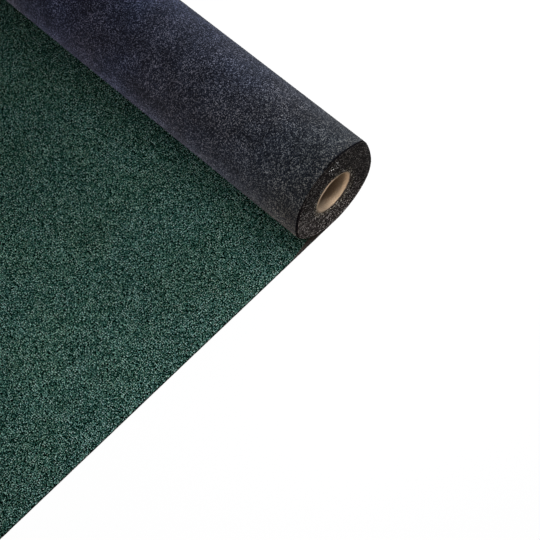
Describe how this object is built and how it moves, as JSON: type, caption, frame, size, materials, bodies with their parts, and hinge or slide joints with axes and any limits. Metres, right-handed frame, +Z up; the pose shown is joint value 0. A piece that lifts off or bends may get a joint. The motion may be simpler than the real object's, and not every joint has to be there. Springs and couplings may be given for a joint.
{
  "type": "roofing felt roll",
  "caption": "Roll of green mineral-surfaced roofing felt on a cardboard tube, part unrolled with its loose end laid flat.",
  "frame": {"origin": "middle of the underside of the whole object's box, on the floor", "axes": "+Z up, Y along the roll's axis, and the laid strip runs from the roll towards -X"},
  "size_m": [1.2173, 1, 0.1749],
  "materials": {
    "mineral_felt": "matte",
    "cardboard": "matte"
  },
  "bodies": {
    "root": {"felt": "mineral_felt", "core_tube": "cardboard"}
  },
  "joints": []
}
